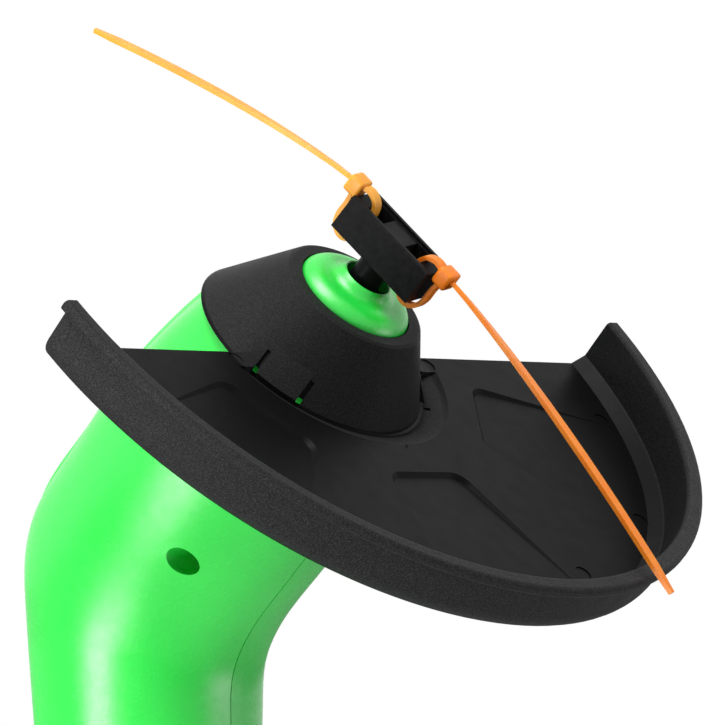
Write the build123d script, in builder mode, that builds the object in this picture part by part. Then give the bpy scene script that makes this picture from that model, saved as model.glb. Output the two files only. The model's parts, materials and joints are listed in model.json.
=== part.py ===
from build123d import *
from math import atan2, cos, pi, radians, sin
import os

# Frame: origin on the pole's axis at the middle of its bare length, +Z along the pole to the head.
# The part is symmetric about the XZ plane. All sizes are in millimetres.
LEAN = radians(47.0)        # angle between the pole and the motor axis
MEET_Z = 391.3              # height of the point where the two axes meet
HEAD_RISE = 76.0            # from that point to the middle of the guard's floor, along the motor axis
GUARD_LEAN = radians(43.0)  # angle between the pole and the guard's own axis
GUARD_AHEAD = 2.4           # the guard's centre, ahead of the motor axis
CROWN_LEAN = radians(44.0)  # angle between the pole and the axis of the collar's top
CROWN_AHEAD = 0.9           # the collar's top, ahead of the motor axis
BEND_Z = 380.0              # height of the housing's bend
WALL = 2.5                  # handle wall
SEAM = 0.15                 # half of the gap between two shell halves

# Guard and collar, measured from the guard's centre and floor; the collar's top in the motor frame
GUARD_R = 100.0
LIP_TOP = 13.8
LIP_BASE = 11.0
RIM_OUT_R = 97.5
RIM_IN_R = 95.5
FLOOR_R = 92.4
FLOOR_T = 3.0
EDGE_G = 2.6                # the guard's straight edge, ahead of its centre
COLLAR_G = -2.2             # middle of the collar's foot
COLLAR_FOOT = -2.5
COLLAR_FOOT_R = 30.4
COLLAR_TOP = 16.6
COLLAR_TOP_R = 18.2
COLLAR_BORE_R = 15.0
COLLAR_WALL = 1.5
MOAT_IN_R = 24.0            # inner and outer edge of the sunken ring round the collar
MOAT_R = 37.0
MOAT_START = 7.8            # the sunken ring runs ahead of this
TAB_ANGLE = 59.5            # snap tongues, to each side of straight ahead
TAB_HALF = 6.3
TAB_OUT = 27.2              # middle of the slots beside a tongue, out from the collar's axis
TAB_SLOT_L = 10.4
TAB_SLOT_W = 1.2
TAB_LOW = -1.2              # foot and top of a tongue, from the guard's floor
TAB_TOP = 5.3
TAB_FLARE = 1.5             # a tongue's foot stands this far out from the collar

# Line holder and ties
HOLDER_L = 26.6
HOLDER_W = 10.5
HOLDER_LOW = 27.3
HOLDER_TOP = 37.3
HOLDER_YAW = 14.0
HUB_R = 3.95
RIB_W = 0.9
CHANNEL = 0.7
WINDOW_IN = 3.9
WINDOW_OUT = 9.4
WINDOW_W = 6.4
HUB_LOW = 12.5
TIE_W = 2.7
TIE_T = 1.1

# Motor
MOTOR_R = 13.85
MOTOR_FRONT = 7.5
MOTOR_BACK = -27.0
CAN_WALL = 0.9
BUSH_R = 3.0
SHAFT_R = 1.6
SHAFT_TOP = 34.5
TERMINAL_S = 9.5            # terminals, to each side of the motor axis

# Radial clearances
PRESS_FIT = 0.02
RUN_FIT = 0.04
PIN_FIT = 0.05

# Pole, collar and handle
POLE_R = 12.5
POLE_WALL = 1.4
SOCKET_Z = BEND_Z - 172.0   # lower end of the housing
POLE_HIGH = BEND_Z - 132.0
POLE_LOW = -203.0
HANDLE_TOP = -190.0
HANDLE_END = -405.0
TRIGGER_PIVOT = (11.5, -214.0)
TRIGGER_PIN_R = 1.5
HANG_Z = -427.0
HANG_R = 4.0

# Battery bay
DOOR_TOP = BEND_Z - 42.0
DOOR_LOW = BEND_Z - 112.0
DOOR_HALF = 18.6
CELL_R = 7.1
CELL_L = 49.0
CELL_PITCH = 14.8
CELL_X = -1.5               # middle of the four cells

AXIS_N = Vector(sin(LEAN), 0, cos(LEAN))
AXIS_G = Vector(cos(LEAN), 0, -sin(LEAN))
HEAD_O = Vector(0, 0, MEET_Z) + AXIS_N * HEAD_RISE
HEAD = Plane(origin=HEAD_O, x_dir=AXIS_G, z_dir=AXIS_N)
HEAD_SIDE = Plane(origin=HEAD_O, x_dir=AXIS_G, z_dir=(0, -1, 0))
HEAD_AXIS = Axis(HEAD_O, AXIS_N)
GUARD_N = Vector(sin(GUARD_LEAN), 0, cos(GUARD_LEAN))
GUARD_G = Vector(cos(GUARD_LEAN), 0, -sin(GUARD_LEAN))
GUARD_O = HEAD_O + GUARD_G * GUARD_AHEAD
GUARD = Plane(origin=GUARD_O, x_dir=GUARD_G, z_dir=GUARD_N)
GUARD_SIDE = Plane(origin=GUARD_O, x_dir=GUARD_G, z_dir=(0, -1, 0))
GUARD_AXIS = Axis(GUARD_O, GUARD_N)
CROWN_N = Vector(sin(CROWN_LEAN), 0, cos(CROWN_LEAN))
CROWN_G = Vector(cos(CROWN_LEAN), 0, -sin(CROWN_LEAN))
CROWN_O = HEAD_O + AXIS_N * COLLAR_TOP + AXIS_G * CROWN_AHEAD
CROWN = Plane(origin=CROWN_O, x_dir=CROWN_G, z_dir=CROWN_N)
CROWN_SIDE = Plane(origin=CROWN_O, x_dir=CROWN_G, z_dir=(0, -1, 0))
CROWN_AXIS = Axis(CROWN_O, CROWN_N)
os.makedirs("parts", exist_ok=True)


def export(solid, label):
    """Name one piece and write its file."""
    solid.label = label
    export_step(solid, f"parts/{label}.step")


def head_plane(height, turn=0.0, g=0.0, s=0.0, base=HEAD):
    """A plane square to the motor axis, or to another base's axis, at a height above its origin."""
    x_dir = base.x_dir * cos(radians(turn)) + base.y_dir * sin(radians(turn))
    return Plane(origin=base.from_local_coords((g, s, height)), x_dir=x_dir, z_dir=base.z_dir)


def profile(points, plane=HEAD_SIDE):
    """A closed outline of straight lines."""
    with BuildSketch(plane) as sketch:
        with BuildLine():
            Polyline(*points, close=True)
        make_face()
    return sketch.sketch


def ring(plane, outer, inner=0.0):
    """A round face, with a hole if an inner radius is given."""
    with BuildSketch(plane) as sketch:
        Circle(outer)
        if inner > 0:
            Circle(inner, mode=Mode.SUBTRACT)
    return sketch.sketch


def rect(plane, width, height):
    """A rectangle centred on a plane."""
    with BuildSketch(plane) as sketch:
        Rectangle(width, height)
    return sketch.sketch


def soft_rect(plane, width, height, corner):
    """A rectangle with rounded corners, centred on a plane."""
    with BuildSketch(plane) as sketch:
        RectangleRounded(width, height, corner)
    return sketch.sketch


def oval(plane, half_x, half_y):
    """An oval centred on a plane, drawn from the same start point at every size."""
    turns = [2 * pi * i / 12 for i in range(12)]
    with BuildSketch(plane) as sketch:
        with BuildLine():
            Spline(*[(half_x * cos(a), half_y * sin(a)) for a in turns], periodic=True)
        make_face()
    return sketch.sketch


def across(x, z, y=0.0):
    """A plane facing +Y at a point of the side view."""
    return Plane(origin=(x, y, z), x_dir=(-1, 0, 0), z_dir=(0, 1, 0))


def along_x(x, z, y=0.0):
    """A plane facing +X."""
    return Plane(origin=(x, y, z), x_dir=(0, 1, 0), z_dir=(1, 0, 0))


def level(z, x=0.0, y=0.0):
    """A plane facing +Z."""
    return Plane(origin=(x, y, z), x_dir=(1, 0, 0), z_dir=(0, 0, 1))


def head_point(g, n):
    """Side-view position of a point of the head, from the bend."""
    return (g * cos(LEAN) + n * sin(LEAN), MEET_Z - BEND_Z - g * sin(LEAN) + n * cos(LEAN))


# Housing sections: outer and inner point of the side view, from the bend, and half width.
def motor_section(height, radius, shift):
    """A round section square to the motor axis; shift moves its centre to the outer side."""
    along = HEAD_RISE + height
    return (head_point(-radius - shift, along), head_point(radius - shift, along), radius)


HOUSING = [
    motor_section(-3.0, 26.6, 0.0),
    motor_section(-9.0, 29.2, -0.8),
    motor_section(-26.0, 33.0, -1.9),
    motor_section(-47.0, 34.0, -1.9),
    motor_section(-60.0, 33.6, -2.5),
    ((-26.5, 26.3), (32.2, -9.2), 31.6),
    ((-30.3, 8.4), (28.9, -16.0), 29.8),
    ((-28.2, -24.0), (27.5, -24.0), 28.2),
    ((-27.6, -60.0), (27.6, -60.0), 27.6),
    ((-27.2, -110.0), (27.2, -110.0), 27.2),
    ((-23.6, -140.0), (23.6, -140.0), 23.6),
    ((-18.4, -172.0), (18.4, -172.0), 18.4),
]
HOUSING_STEPS = 24


def half_oval(plane, half_x, half_y, side):
    """The part of an oval on one side of the seam."""
    turns = [pi * i / 8 for i in range(9)]
    points = [(half_x * cos(a), side * (SEAM + half_y * sin(a))) for a in turns]
    with BuildSketch(plane) as sketch:
        with BuildLine():
            Spline(*points, tangents=((0, side), (0, -side)))
            Line(points[-1], points[0])
        make_face()
    return sketch.sketch


def housing_sections(inset, side):
    """Evenly spaced half ovals along the housing on one side of the seam, drawn in by one amount."""
    reach = [0.0]
    for before, after in zip(HOUSING, HOUSING[1:]):
        steps = [(Vector(*a) - Vector(*b)).length for a, b in zip(before[:2], after[:2])]
        reach.append(reach[-1] + sum(steps) / 2)
    spots = [r / reach[-1] for r in reach]
    outer_line = Edge.make_spline([Vector(*outer, half) for outer, _, half in HOUSING], parameters=spots)
    inner_line = Edge.make_spline([Vector(*inner, half) for _, inner, half in HOUSING], parameters=spots)
    faces = []
    for i in range(HOUSING_STEPS + 1):
        outer = outer_line.position_at(i / HOUSING_STEPS)
        inner = inner_line.position_at(i / HOUSING_STEPS)
        start = Vector(outer.X, 0, outer.Y + BEND_Z)
        end = Vector(inner.X, 0, inner.Y + BEND_Z)
        x_dir = (end - start).normalized()
        plane = Plane(origin=(start + end) * 0.5, x_dir=x_dir, z_dir=x_dir.cross(Vector(0, 1, 0)))
        half_x = (end - start).length / 2 - inset
        faces.append(half_oval(plane, half_x, outer.Z - inset - SEAM, side))
    return faces


HANDLE = [
    (-208.0, 19.0, 16.8, 0.8),
    (-240.0, 19.2, 16.8, 1.0),
    (-272.0, 17.0, 15.4, 0.0),
    (-320.0, 17.6, 16.0, -0.6),
    (-370.0, 18.2, 16.4, -0.6),
]


def handle_sections(inset, reach=0.0):
    """Ovals along the handle, all drawn in by the same amount; reach runs past both ends."""
    first = (HANDLE_TOP + reach, 16.4, 16.0, 0.0)
    last = (HANDLE_END - reach, 18.6, 16.6, 0.0)
    rows = [first] + HANDLE + [last]
    return [oval(level(z, x), a - inset, b - inset) for z, a, b, x in rows]


# Screw places in side view
HOUSING_SCREWS = [(34.8, BEND_Z + 10.2), (18.5, BEND_Z - 38.0), (18.2, BEND_Z - 122.0),
                  (-18.2, BEND_Z - 122.0)]
HANDLE_SCREWS = [(-11.0, -210.0), (8.5, -285.0), (0.0, -345.0), (0.0, -396.0)]
SCREW_R = 1.6
SCREW_HEAD_R = 2.9
SCREW_HEAD_T = 2.2
SCREW_GRIP = 10.0           # length in the right half
CROSS_L = 3.6
CROSS_W = 0.8
CROSS_DEEP = 1.1
BOSS_R = 5.4
RECESS_R = 3.3
BOSS_FLOOR = 5.0
CORE_INSET = 0.6            # posts and ribs end this far under the outer face

# Guard: plate and rim in one piece with the collar
COLLAR_AXIS = Axis(head_plane(0.0, g=COLLAR_G, base=GUARD).origin, GUARD_N)
COLLAR_SIDE = Plane(origin=COLLAR_AXIS.position, x_dir=GUARD_G, z_dir=(0, -1, 0))
COLLAR_BASE = Plane(origin=COLLAR_AXIS.position, x_dir=GUARD_G, z_dir=GUARD_N)
COLLAR_TAPER = (COLLAR_FOOT_R - COLLAR_TOP_R) / (COLLAR_TOP - COLLAR_FOOT)
UNDER = -5.0                # underside of the sunken ring
PANEL_IN = 45.5             # inner and outer end of the sunken panels
PANEL_OUT = 88.0
PANEL_DEEP = 1.0
PANELS = ((-57.5, 16.0), (0.0, 15.5), (57.5, 16.0))
FLOOR_IN_R = 20.0
MARKS = ((24.2, 85.0), (60.9, 66.7), (79.5, 28.0), (5.2, 34.6), (33.9, 0.0))
MARK_R = 2.2


def collar_cone(inset, low, high, bevel=0.0):
    """Cone from a circle level with the guard's floor to one level with the collar's top, drawn in."""
    foot_r = COLLAR_FOOT_R + COLLAR_TAPER * (COLLAR_FOOT - low) - inset
    edge_r = COLLAR_TOP_R + COLLAR_TAPER * (COLLAR_TOP - high + bevel) - inset
    rise = high - COLLAR_TOP
    sections = [ring(head_plane(low, base=COLLAR_BASE), foot_r),
                ring(head_plane(rise - bevel, base=CROWN), edge_r)]
    if bevel > 0:
        sections.append(ring(head_plane(rise, base=CROWN), edge_r - 1.6 * bevel))
    with BuildPart() as cone:
        loft(sections, ruled=True)
    return cone.part


def tab_box(turn, out, aside, low, size, high):
    """A block beside the collar: distance out, offset aside, low height, radial and side size, high."""
    spot = head_plane(low, turn, base=COLLAR_BASE)
    foot = Plane(origin=spot.from_local_coords((out, aside, 0)), x_dir=spot.x_dir, z_dir=GUARD_N)
    with BuildPart() as block:
        extrude(rect(foot, *size), amount=high)
    return block.part


with BuildPart() as tab_grooves:
    for tab in (-TAB_ANGLE, TAB_ANGLE):
        for side in (-1, 1):
            add(tab_box(tab, TAB_OUT, side * TAB_HALF, COLLAR_FOOT, (TAB_SLOT_L, TAB_SLOT_W),
                        TAB_TOP - COLLAR_FOOT - 2.0))
    add(collar_cone(1.0, COLLAR_FOOT - 1.0, COLLAR_TOP - 2.0), mode=Mode.SUBTRACT)

with BuildPart() as tab_tongues:
    flare_top = TAB_FLARE * (COLLAR_TOP - TAB_TOP) / (TAB_TOP - TAB_LOW)
    loft([ring(head_plane(TAB_LOW, base=COLLAR_BASE),
               COLLAR_FOOT_R + COLLAR_TAPER * (COLLAR_FOOT - TAB_LOW) + TAB_FLARE),
          ring(head_plane(0.0, base=CROWN), COLLAR_TOP_R - flare_top)], ruled=True)
    with BuildPart(mode=Mode.INTERSECT):
        for tab in (-TAB_ANGLE, TAB_ANGLE):
            tongue = (TAB_SLOT_L + 2.0, 2 * TAB_HALF - TAB_SLOT_W)
            add(tab_box(tab, TAB_OUT, 0.0, TAB_LOW - 1.0, tongue, TAB_TOP - TAB_LOW + 2.0))

with BuildPart() as moat:
    moat_top = [(MOAT_IN_R, 0.5), (MOAT_IN_R, COLLAR_FOOT), (COLLAR_FOOT_R + 0.8, COLLAR_FOOT), (MOAT_R, 0),
                (MOAT_R, 0.5)]
    revolve(profile(moat_top, COLLAR_SIDE), axis=COLLAR_AXIS)
    extrude(rect(head_plane(-10.0, g=MOAT_START + 60.0, base=GUARD), 120.0, 240.0), amount=40.0,
            mode=Mode.INTERSECT)

with BuildPart() as guard:
    with BuildSketch(GUARD_SIDE):
        with BuildLine():
            Polyline((FLOOR_IN_R, 0), (FLOOR_IN_R, -FLOOR_T), (FLOOR_R - 0.2, -FLOOR_T))
            ThreePointArc((FLOOR_R - 0.2, -FLOOR_T), (95.9, -1.4), (RIM_OUT_R - 0.1, 2.3))
            Polyline((RIM_OUT_R - 0.1, 2.3), (RIM_OUT_R, LIP_BASE), (GUARD_R - 0.9, LIP_BASE))
            ThreePointArc((GUARD_R - 0.9, LIP_BASE), (GUARD_R - 0.26, LIP_BASE + 0.26),
                          (GUARD_R, LIP_BASE + 0.9))
            Line((GUARD_R, LIP_BASE + 0.9), (GUARD_R, LIP_TOP - 1.2))
            ThreePointArc((GUARD_R, LIP_TOP - 1.2), (GUARD_R - 0.35, LIP_TOP - 0.35),
                          (GUARD_R - 1.2, LIP_TOP))
            Line((GUARD_R - 1.2, LIP_TOP), (RIM_IN_R + 1.0, LIP_TOP))
            ThreePointArc((RIM_IN_R + 1.0, LIP_TOP), (RIM_IN_R + 0.3, LIP_TOP - 0.3),
                          (RIM_IN_R, LIP_TOP - 1.0))
            Polyline((RIM_IN_R, LIP_TOP - 1.0), (RIM_IN_R, 2.8), (FLOOR_R, 0), (FLOOR_IN_R, 0))
        make_face()
    revolve(axis=GUARD_AXIS)
    # sunken ring round the collar
    moat_low = [(MOAT_IN_R, -FLOOR_T + 0.5), (MOAT_IN_R, UNDER), (MOAT_R, UNDER),
                (MOAT_R + 2.0, -FLOOR_T + 0.5)]
    revolve(profile(moat_low, COLLAR_SIDE), axis=COLLAR_AXIS)
    add(moat.part, mode=Mode.SUBTRACT)
    # only the half ahead of the straight edge stays
    extrude(rect(head_plane(-10.0, g=EDGE_G - 60.0, base=GUARD), 120.0, 240.0), amount=40.0,
            mode=Mode.SUBTRACT)
    # sunken panels with sloped walls that fade out toward the rim
    for middle, half in PANELS:
        outward = GUARD_G * cos(radians(middle)) + Vector(0, sin(radians(middle)), 0)
        fall = Vector(outward) * (PANEL_OUT - PANEL_IN) + GUARD_N * PANEL_DEEP
        sideways = GUARD_N.cross(outward)
        panel = Plane(origin=GUARD_O + outward * PANEL_IN - GUARD_N * PANEL_DEEP, x_dir=fall.normalized(),
                      z_dir=fall.cross(sideways).normalized())
        near_half = PANEL_IN * sin(radians(half))
        far_half = PANEL_OUT * sin(radians(half))
        with BuildSketch(panel):
            with BuildLine():
                Polyline((0, -near_half), (PANEL_OUT - PANEL_IN, -far_half),
                         (PANEL_OUT - PANEL_IN, far_half), (0, near_half), close=True)
            make_face()
            fillet(vertices(), 4.0)
        extrude(amount=2.5, taper=-50.0, mode=Mode.SUBTRACT)
    # ejector marks
    for g, s in MARKS:
        for side in ((-1, 1) if s else (1,)):
            extrude(ring(head_plane(0.2, g=g, s=s * side, base=GUARD), MARK_R), amount=-0.45,
                    mode=Mode.SUBTRACT)
    # collar with its snap tongues
    add(collar_cone(0.0, COLLAR_FOOT - 0.3, COLLAR_TOP, 0.5))
    add(tab_tongues.part)
    add(tab_grooves.part, mode=Mode.SUBTRACT)
    for tab in (-TAB_ANGLE, TAB_ANGLE):
        for side in (-1, 1):
            add(tab_box(tab, TAB_OUT, side * TAB_HALF, COLLAR_FOOT, (8.0, 1.3), 1.3), mode=Mode.SUBTRACT)
    add(collar_cone(COLLAR_WALL, UNDER - 0.5, COLLAR_TOP - 2.2), mode=Mode.SUBTRACT)
    extrude(ring(head_plane(-3.0, base=CROWN), COLLAR_BORE_R), amount=5.0, mode=Mode.SUBTRACT)
export(guard.part, "guard")

# Nose cap: spigot and cone about the motor axis, crown with a raised lip round the drive hub
NOSE_R = COLLAR_BORE_R - 0.3
HUB_HOLE_R = 5.8
with BuildPart() as nose_cap:
    revolve(profile([(22.8, -9.0), (25.0, -9.0), (25.0, -2.7), (26.6, -2.7), (16.6, 12.2), (10.6, 12.2),
                     (10.6, 10.8), (14.6, 10.4), (22.4, -0.5), (22.8, -2.7)]), axis=HEAD_AXIS)
    with BuildSketch(CROWN_SIDE):
        with BuildLine():
            Polyline((12.6, -6.4), (NOSE_R, -6.4), (NOSE_R, -0.8))
            Spline((NOSE_R, -0.8), (13.9, 1.2), (12.2, 2.5), (10.4, 3.0), (8.9, 3.2), (7.5, 4.1), (6.6, 5.3),
                   (HUB_HOLE_R, 5.4), tangents=((0, 1), (-0.3, -1)))
            Polyline((HUB_HOLE_R, 5.4), (HUB_HOLE_R, 2.4), (9.2, 0.9), (12.6, -1.4), (12.6, -6.4))
        make_face()
    revolve(axis=CROWN_AXIS)
export(nose_cap.part, "nose_cap")

# Motor
with BuildPart() as motor_can:
    revolve(profile([(0, MOTOR_BACK), (MOTOR_R, MOTOR_BACK), (MOTOR_R, MOTOR_FRONT - 1.0),
                     (MOTOR_R - 1.0, MOTOR_FRONT), (5.2, MOTOR_FRONT), (5.0, MOTOR_FRONT + 2.2),
                     (0, MOTOR_FRONT + 2.2)]), axis=HEAD_AXIS)
    extrude(ring(head_plane(MOTOR_BACK), MOTOR_R - CAN_WALL), amount=MOTOR_FRONT - MOTOR_BACK - 1.0,
            mode=Mode.SUBTRACT)
    extrude(ring(head_plane(MOTOR_FRONT - 2.0), BUSH_R), amount=6.0, mode=Mode.SUBTRACT)
    for side in (-1, 1):
        extrude(ring(head_plane(MOTOR_FRONT - 2.0, g=8.0 * side), 1.25), amount=4.0,
                mode=Mode.SUBTRACT)
export(motor_can.part, "motor_can")

with BuildPart() as motor_magnets:
    extrude(ring(head_plane(-20.0), MOTOR_R - 1.0, MOTOR_R - 3.6), amount=22.0)
    extrude(rect(head_plane(-21.0), 60.0, 9.0), amount=24.0, mode=Mode.SUBTRACT)
export(motor_magnets.part, "motor_magnets")

with BuildPart() as motor_end_cap:
    extrude(ring(head_plane(MOTOR_BACK), MOTOR_R - 1.0, BUSH_R), amount=2.5)
    extrude(ring(head_plane(MOTOR_BACK - 2.5), 5.0, BUSH_R), amount=2.5)
    for side in (-1, 1):
        extrude(rect(head_plane(MOTOR_BACK - 1.0, s=TERMINAL_S * side), 2.6, 0.9), amount=5.0,
                mode=Mode.SUBTRACT)
export(motor_end_cap.part, "motor_end_cap")

with BuildPart() as motor_bushes:
    extrude(ring(head_plane(MOTOR_FRONT - 1.0), BUSH_R, SHAFT_R + RUN_FIT), amount=3.2)
    extrude(ring(head_plane(MOTOR_BACK - 2.5), BUSH_R, SHAFT_R + RUN_FIT), amount=4.0)
export(motor_bushes.part, "motor_bushes")

with BuildPart() as motor_terminals:
    for side in (-1, 1):
        extrude(rect(head_plane(MOTOR_BACK - 6.0, s=TERMINAL_S * side), 2.5, 0.8), amount=8.4)
export(motor_terminals.part, "motor_terminals")

with BuildPart() as motor_shaft:
    extrude(ring(head_plane(MOTOR_BACK - 2.0), SHAFT_R), amount=SHAFT_TOP - MOTOR_BACK + 2.0)
export(motor_shaft.part, "motor_shaft")

with BuildPart() as armature:
    extrude(ring(head_plane(-19.0), MOTOR_R - 4.1, SHAFT_R + PRESS_FIT), amount=20.0)
    for turn in (0, 120, 240):
        slot = head_plane(-20.0, turn)
        mouth = Plane(origin=slot.from_local_coords((8.0, 0, 0)), x_dir=slot.x_dir, z_dir=AXIS_N)
        extrude(rect(mouth, 6.0, 1.6), amount=22.0, mode=Mode.SUBTRACT)
        heart = Plane(origin=slot.from_local_coords((5.9, 0, 0)), x_dir=slot.x_dir, z_dir=AXIS_N)
        extrude(ring(heart, 2.4), amount=22.0, mode=Mode.SUBTRACT)
export(armature.part, "armature")

with BuildPart() as commutator:
    extrude(ring(head_plane(-24.2), 3.6, SHAFT_R + PRESS_FIT), amount=5.0)
export(commutator.part, "commutator")

# Line holder: bar with edge ribs and two windows, and a hub pressed on the shaft
HOLDER_MID = head_plane(HOLDER_LOW, HOLDER_YAW)
with BuildPart() as line_holder:
    extrude(rect(HOLDER_MID, HOLDER_L, HOLDER_W), amount=HOLDER_TOP - HOLDER_LOW)
    tops = line_holder.edges().filter_by(Axis((0, 0, 0), HOLDER_MID.x_dir))
    fillet(tops, 0.35)
    extrude(rect(head_plane(HOLDER_TOP - CHANNEL, HOLDER_YAW), HOLDER_L + 2, HOLDER_W - 2 * RIB_W - 0.6),
            amount=2.0, mode=Mode.SUBTRACT)
    for side in (-1, 1):
        middle = side * (WINDOW_IN + WINDOW_OUT) / 2
        spot = Plane(origin=HOLDER_MID.from_local_coords((middle, 0, -1)), x_dir=HOLDER_MID.x_dir,
                     z_dir=AXIS_N)
        extrude(rect(spot, WINDOW_OUT - WINDOW_IN, WINDOW_W), amount=20.0, mode=Mode.SUBTRACT)
    extrude(ring(head_plane(HUB_LOW), HUB_R), amount=HOLDER_LOW - HUB_LOW + 1.0)
    extrude(ring(head_plane(HUB_LOW - 0.5), SHAFT_R + PRESS_FIT), amount=SHAFT_TOP - HUB_LOW + 1.0,
            mode=Mode.SUBTRACT)
export(line_holder.part, "line_holder")

# Ties: strap looped through a window and over the bar's end, block head, drooping tail
TIE_HEAD_AT = 15.9          # middle of the head, out from the motor axis
TIE_HEAD_LOW = 35.1
TIE_HEAD_H = 4.6
TAIL_LIFT = 37.7            # where the tail leaves the head
TAIL_STEPS = 12
TIP_SHARE = 0.45            # width of the tip
LOOP = [(15.6, 36.0), (15.2, 32.4), (15.2, 29.3), (14.4, 26.7), (12.8, 25.3), (10.8, 25.0), (9.0, 26.2),
        (8.2, 28.8), (8.2, 32.0), (8.2, 35.2), (9.2, 37.6), (11.2, 38.7), (13.2, 38.7), (15.6, 37.8)]


def strap_outline(plane, path, half):
    """Face of a strap seen from its edge, from points along its middle."""
    middle = Spline(*path)
    left = []
    right = []
    count = 3 * len(path)
    for i in range(count + 1):
        point = middle.position_at(i / count)
        slope = middle.tangent_at(i / count)
        left.append((point.X - slope.Y * half, point.Y + slope.X * half))
        right.append((point.X + slope.Y * half, point.Y - slope.X * half))
    with BuildSketch(plane) as sketch:
        with BuildLine():
            Spline(*left)
            Line(left[-1], right[-1])
            Spline(*reversed(right))
            Line(right[0], left[0])
        make_face()
    return sketch.sketch


def tail_sections(turn, length, droop_start, droop_end, twist):
    """Rectangles along a tie's tail, twisted near the head and tapered at the tip."""
    frame = head_plane(0.0, turn)
    reach = TIE_HEAD_AT + 1.0
    height = TAIL_LIFT
    faces = []
    for i in range(TAIL_STEPS + 1):
        t = i / TAIL_STEPS
        droop = radians(droop_start + (droop_end - droop_start) * t ** 0.6)
        along = frame.x_dir * cos(droop) - AXIS_N * sin(droop)
        roll = radians(twist * max(0.0, 1.0 - t / 0.6) ** 1.5)
        lift = along.cross(frame.y_dir)
        x_dir = frame.y_dir * cos(roll) + lift * sin(roll)
        width = TIE_W if i < TAIL_STEPS else TIE_W * TIP_SHARE
        plane = Plane(origin=frame.from_local_coords((reach, 0, height)), x_dir=x_dir, z_dir=along)
        faces.append(rect(plane, width, TIE_T))
        reach += length / TAIL_STEPS * cos(droop)
        height -= length / TAIL_STEPS * sin(droop)
    return faces


def tie_head(turn):
    """Block head of a tie, square to the bar's end."""
    frame = head_plane(TIE_HEAD_LOW, turn)
    foot = Plane(origin=frame.from_local_coords((TIE_HEAD_AT, 0, 0)), x_dir=frame.x_dir, z_dir=AXIS_N)
    with BuildPart() as block:
        extrude(soft_rect(foot, 4.2, 5.0, 0.8), amount=TIE_HEAD_H)
    return block.part


def cutting_tie(turn, length, droop_start, droop_end, twist):
    """A whole tie on one end of the bar."""
    spot = head_plane(0.0, turn)
    tie_side = Plane(origin=HEAD_O, x_dir=spot.x_dir, z_dir=-spot.y_dir)
    with BuildPart() as tie:
        extrude(strap_outline(tie_side, LOOP, TIE_T / 2), amount=TIE_W / 2, both=True)
        add(tie_head(turn))
        loft(tail_sections(turn, length, droop_start, droop_end, twist), ruled=True)
    return tie.part


export(cutting_tie(HOLDER_YAW, 92.0, 3.0, 13.5, -28.0), "cutting_tie_a")
export(cutting_tie(HOLDER_YAW + 180.0, 81.0, 13.0, 19.5, 20.0), "cutting_tie_b")


# Housing halves and battery door share one outer form and one set of inner spaces
BAY_R = 24.6
MOTOR_BAY_R = 27.5
NOSE_BAY_R = 25.3
PIPE_BORE = POLE_R + PIN_FIT


def pole_web(z, thick):
    """A rib that holds the pole, before it is trimmed to the shell."""
    with BuildPart() as web:
        extrude(ring(level(z), 60.0, PIPE_BORE), amount=thick)
    return web.part


with BuildPart() as hollow:
    # motor end, with two ribs left standing round the motor
    extrude(ring(head_plane(-11.5), NOSE_BAY_R), amount=20.0)
    extrude(ring(head_plane(-60.0), MOTOR_R + 0.1), amount=60.0)
    extrude(ring(head_plane(-23.0), MOTOR_BAY_R - 1.0), amount=9.5)
    extrude(ring(head_plane(-HEAD_RISE), MOTOR_BAY_R), amount=HEAD_RISE - 25.0)
    # bend and battery bay
    with Locations((0, 0, BEND_Z)):
        Sphere(26.5)
    extrude(ring(level(BEND_Z - 112.0), BAY_R), amount=112.0)
    # pole socket, with two ribs left standing round the pole
    extrude(ring(level(BEND_Z - 118.0), 23.2), amount=7.0)
    extrude(ring(level(BEND_Z - 133.0), 20.0), amount=22.0)
    extrude(ring(level(BEND_Z - 180.0), PIPE_BORE), amount=60.0)
    extrude(ring(level(BEND_Z - 166.0), 15.0), amount=30.0)


def boss(x, z, side):
    """Solid screw post from the seam outward, before it is trimmed to the shell."""
    with BuildPart() as post:
        extrude(ring(across(x, z, side * SEAM), BOSS_R), amount=40.0 * side)
    return post.part


def screw_way(x, z, side):
    """What a screw needs cut: head recess and clearance on the left, pilot hole on the right."""
    with BuildPart() as way:
        if side < 0:
            extrude(ring(across(x, z, 1.0), SCREW_R + 0.15), amount=-BOSS_FLOOR - 2.0)
            extrude(ring(across(x, z, -BOSS_FLOOR), RECESS_R), amount=-40.0)
        else:
            extrude(ring(across(x, z, -1.0), SCREW_R + PRESS_FIT), amount=SCREW_GRIP + 2.0)
    return way.part


def screw_set(places):
    """Cross-slot screws at places of the side view, with their heads on the left."""
    with BuildPart() as screws:
        for x, z in places:
            seat = across(x, z, -BOSS_FLOOR - PRESS_FIT)
            extrude(ring(seat, SCREW_HEAD_R), amount=-SCREW_HEAD_T)
            extrude(ring(seat, SCREW_R), amount=BOSS_FLOOR + SCREW_GRIP)
            for slot in ((CROSS_L, CROSS_W), (CROSS_W, CROSS_L)):
                extrude(rect(seat.offset(-SCREW_HEAD_T), *slot), amount=CROSS_DEEP, mode=Mode.SUBTRACT)
    return screws.part


DOOR_HIGH = DOOR_TOP - DOOR_LOW
HINGE_X = -30.4
HINGE_Z = DOOR_LOW - 2.2
HINGE_PIN_R = 1.2
BARREL_HALF = 7.9
BARREL_R = 3.0
EAR_IN = 8.3                # inner face and width of a hinge ear
EAR_W = 3.6
RELIEF_X = -26.0            # floor of the relief under the hinge arm
DOOR_GAP = 0.4
DOOR_TOP_GAP = 1.2          # room for the inner edge as the door swings out


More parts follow.
